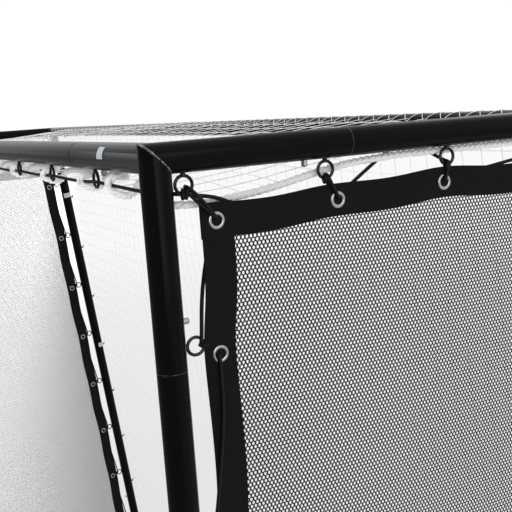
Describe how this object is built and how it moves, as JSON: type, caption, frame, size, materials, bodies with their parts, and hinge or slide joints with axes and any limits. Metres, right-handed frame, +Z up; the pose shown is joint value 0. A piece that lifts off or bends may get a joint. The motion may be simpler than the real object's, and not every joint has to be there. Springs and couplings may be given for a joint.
{
  "type": "goal frame with laced rebounder panels",
  "caption": "Free-standing tube goal with an open mouth, a white net over its top and back, and a black mesh rebounder panel laced into each short side.",
  "frame": {"origin": "on the floor under the middle of the bounding box", "axes": "+X to the right along the mouth, +Y from the mouth to the back, +Z up"},
  "size_m": [3, 0.921, 2.0026],
  "materials": {
    "spring_steel": "bright strip",
    "zinc_button": "zinc plated",
    "black_powder_coat": "satin powder coat",
    "black_webbing": "woven polyester",
    "black_mesh": "knitted hexagonal mesh",
    "nickel_grommet": "nickel plated",
    "black_wire": "gloss paint",
    "black_cord": "braided elastic cord",
    "black_hook": "moulded",
    "white_rope": "braided rope",
    "white_net": "knotless twine"
  },
  "bodies": {
    "frame": {"back_post_lower_left": "black_powder_coat", "back_post_lower_right": "black_powder_coat", "back_post_upper_left": "black_powder_coat", "back_post_upper_right": "black_powder_coat", "back_top_bar_left": "black_powder_coat", "back_top_bar_right": "black_powder_coat", "button_springs": "spring_steel", "corner_back_foot_left": "black_powder_coat", "corner_back_foot_right": "black_powder_coat", "corner_back_top_left": "black_powder_coat", "corner_back_top_right": "black_powder_coat", "corner_front_foot_left": "black_powder_coat", "corner_front_foot_right": "black_powder_coat", "corner_front_top_left": "black_powder_coat", "corner_front_top_right": "black_powder_coat", "crossbar_left": "black_powder_coat", "crossbar_right": "black_powder_coat", "front_post_lower_left": "black_powder_coat", "front_post_lower_right": "black_powder_coat", "front_post_upper_left": "black_powder_coat", "front_post_upper_right": "black_powder_coat", "grommets_left": "nickel_grommet", "grommets_right": "nickel_grommet", "ground_bar_left": "black_powder_coat", "ground_bar_right": "black_powder_coat", "ground_runner_left": "black_powder_coat", "ground_runner_right": "black_powder_coat", "lacing_eyes": "black_wire", "net_back": "white_net", "net_border_rope": "white_rope", "net_hooks": "black_hook", "net_lacing": "black_cord", "net_top": "white_net", "panel_lacing_left": "black_cord", "panel_lacing_right": "black_cord", "panel_webbing_left": "black_webbing", "panel_webbing_right": "black_webbing", "rebounder_mesh_left": "black_mesh", "rebounder_mesh_right": "black_mesh"},
    "snap_back_post_foot_left": {"button_back_post_foot_left": "zinc_button"},
    "snap_back_post_foot_right": {"button_back_post_foot_right": "zinc_button"},
    "snap_back_post_top_left": {"button_back_post_top_left": "zinc_button"},
    "snap_back_post_top_right": {"button_back_post_top_right": "zinc_button"},
    "snap_back_top_bar_left": {"button_back_top_bar_left": "zinc_button"},
    "snap_back_top_bar_right": {"button_back_top_bar_right": "zinc_button"},
    "snap_crossbar_left": {"button_crossbar_left": "zinc_button"},
    "snap_crossbar_right": {"button_crossbar_right": "zinc_button"},
    "snap_front_post_foot_left": {"button_front_post_foot_left": "zinc_button"},
    "snap_front_post_foot_right": {"button_front_post_foot_right": "zinc_button"},
    "snap_front_post_top_left": {"button_front_post_top_left": "zinc_button"},
    "snap_front_post_top_right": {"button_front_post_top_right": "zinc_button"},
    "snap_ground_bar_left": {"button_ground_bar_left": "zinc_button"},
    "snap_ground_bar_right": {"button_ground_bar_right": "zinc_button"},
    "snap_runner_back_left": {"button_runner_back_left": "zinc_button"},
    "snap_runner_back_right": {"button_runner_back_right": "zinc_button"},
    "snap_runner_front_left": {"button_runner_front_left": "zinc_button"},
    "snap_runner_front_right": {"button_runner_front_right": "zinc_button"},
    "snap_side_top_left": {"button_side_top_left": "zinc_button"},
    "snap_side_top_right": {"button_side_top_right": "zinc_button"}
  },
  "joints": [
    {"name": "press_back_post_foot_left", "type": "slide", "parent": "frame", "child": "snap_back_post_foot_left", "axis": [0, 0.994, 0.1094], "range_m": [0, 0.0098], "stiffness_N_per_m": 400, "springref_m": -0.005},
    {"name": "press_back_post_foot_right", "type": "slide", "parent": "frame", "child": "snap_back_post_foot_right", "axis": [0, 0.994, 0.1094], "range_m": [0, 0.0098], "stiffness_N_per_m": 400, "springref_m": -0.005},
    {"name": "press_back_post_top_left", "type": "slide", "parent": "frame", "child": "snap_back_post_top_left", "axis": [0, 0.994, 0.1094], "range_m": [0, 0.0098], "stiffness_N_per_m": 400, "springref_m": -0.005},
    {"name": "press_back_post_top_right", "type": "slide", "parent": "frame", "child": "snap_back_post_top_right", "axis": [0, 0.994, 0.1094], "range_m": [0, 0.0098], "stiffness_N_per_m": 400, "springref_m": -0.005},
    {"name": "press_back_top_bar_left", "type": "slide", "parent": "frame", "child": "snap_back_top_bar_left", "axis": [0, 0, 1], "range_m": [0, 0.0098], "stiffness_N_per_m": 400, "springref_m": -0.005},
    {"name": "press_back_top_bar_right", "type": "slide", "parent": "frame", "child": "snap_back_top_bar_right", "axis": [0, 0, 1], "range_m": [0, 0.0098], "stiffness_N_per_m": 400, "springref_m": -0.005},
    {"name": "press_crossbar_left", "type": "slide", "parent": "frame", "child": "snap_crossbar_left", "axis": [0, 0, 1], "range_m": [0, 0.0098], "stiffness_N_per_m": 400, "springref_m": -0.005},
    {"name": "press_crossbar_right", "type": "slide", "parent": "frame", "child": "snap_crossbar_right", "axis": [0, 0, 1], "range_m": [0, 0.0098], "stiffness_N_per_m": 400, "springref_m": -0.005},
    {"name": "press_front_post_foot_left", "type": "slide", "parent": "frame", "child": "snap_front_post_foot_left", "axis": [0, -1, 0], "range_m": [0, 0.0098], "stiffness_N_per_m": 400, "springref_m": -0.005},
    {"name": "press_front_post_foot_right", "type": "slide", "parent": "frame", "child": "snap_front_post_foot_right", "axis": [0, -1, 0], "range_m": [0, 0.0098], "stiffness_N_per_m": 400, "springref_m": -0.005},
    {"name": "press_front_post_top_left", "type": "slide", "parent": "frame", "child": "snap_front_post_top_left", "axis": [0, -1, 0], "range_m": [0, 0.0098], "stiffness_N_per_m": 400, "springref_m": -0.005},
    {"name": "press_front_post_top_right", "type": "slide", "parent": "frame", "child": "snap_front_post_top_right", "axis": [0, -1, 0], "range_m": [0, 0.0098], "stiffness_N_per_m": 400, "springref_m": -0.005},
    {"name": "press_ground_bar_left", "type": "slide", "parent": "frame", "child": "snap_ground_bar_left", "axis": [0, 0, -1], "range_m": [0, 0.0098], "stiffness_N_per_m": 400, "springref_m": -0.005},
    {"name": "press_ground_bar_right", "type": "slide", "parent": "frame", "child": "snap_ground_bar_right", "axis": [0, 0, -1], "range_m": [0, 0.0098], "stiffness_N_per_m": 400, "springref_m": -0.005},
    {"name": "press_runner_back_left", "type": "slide", "parent": "frame", "child": "snap_runner_back_left", "axis": [0, 0, -1], "range_m": [0, 0.0098], "stiffness_N_per_m": 400, "springref_m": -0.005},
    {"name": "press_runner_back_right", "type": "slide", "parent": "frame", "child": "snap_runner_back_right", "axis": [0, 0, -1], "range_m": [0, 0.0098], "stiffness_N_per_m": 400, "springref_m": -0.005},
    {"name": "press_runner_front_left", "type": "slide", "parent": "frame", "child": "snap_runner_front_left", "axis": [0, 0, -1], "range_m": [0, 0.0098], "stiffness_N_per_m": 400, "springref_m": -0.005},
    {"name": "press_runner_front_right", "type": "slide", "parent": "frame", "child": "snap_runner_front_right", "axis": [0, 0, -1], "range_m": [0, 0.0098], "stiffness_N_per_m": 400, "springref_m": -0.005},
    {"name": "press_side_top_left", "type": "slide", "parent": "frame", "child": "snap_side_top_left", "axis": [0, 0, 1], "range_m": [0, 0.0098], "stiffness_N_per_m": 400, "springref_m": -0.005},
    {"name": "press_side_top_right", "type": "slide", "parent": "frame", "child": "snap_side_top_right", "axis": [0, 0, 1], "range_m": [0, 0.0098], "stiffness_N_per_m": 400, "springref_m": -0.005}
  ]
}
